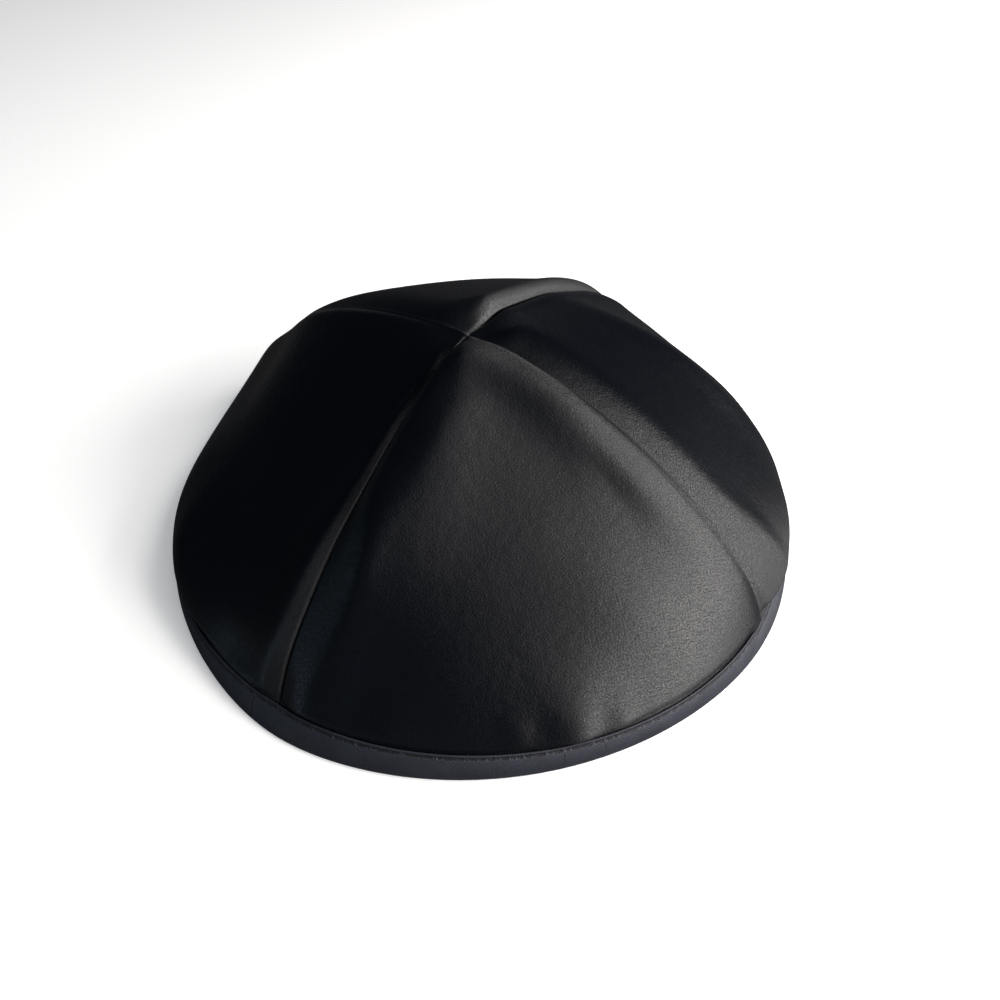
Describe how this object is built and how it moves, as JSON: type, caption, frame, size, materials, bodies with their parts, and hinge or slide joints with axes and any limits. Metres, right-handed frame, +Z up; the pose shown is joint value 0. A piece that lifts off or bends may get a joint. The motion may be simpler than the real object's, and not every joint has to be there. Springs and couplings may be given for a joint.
{
  "type": "satin skullcap",
  "caption": "Low domed skullcap sewn from satin panels that meet at the crown, with a folded tape binding round its open rim, lying on the rim.",
  "frame": {"origin": "middle of the cap's outline, on the surface that its rim rests on", "axes": "+Z up towards the crown, -Y towards the front panel, +X towards the right panel seen from the front"},
  "size_m": [0.1672, 0.177, 0.0606],
  "materials": {
    "satin": "black satin weave with a soft directional sheen",
    "bias_tape": "matt blue-black woven tape",
    "thread": "dull black sewing thread"
  },
  "bodies": {
    "root": {"panel_front": "satin", "panel_right": "satin", "panel_back": "satin", "panel_left": "satin", "rim_binding": "bias_tape"}
  },
  "joints": []
}
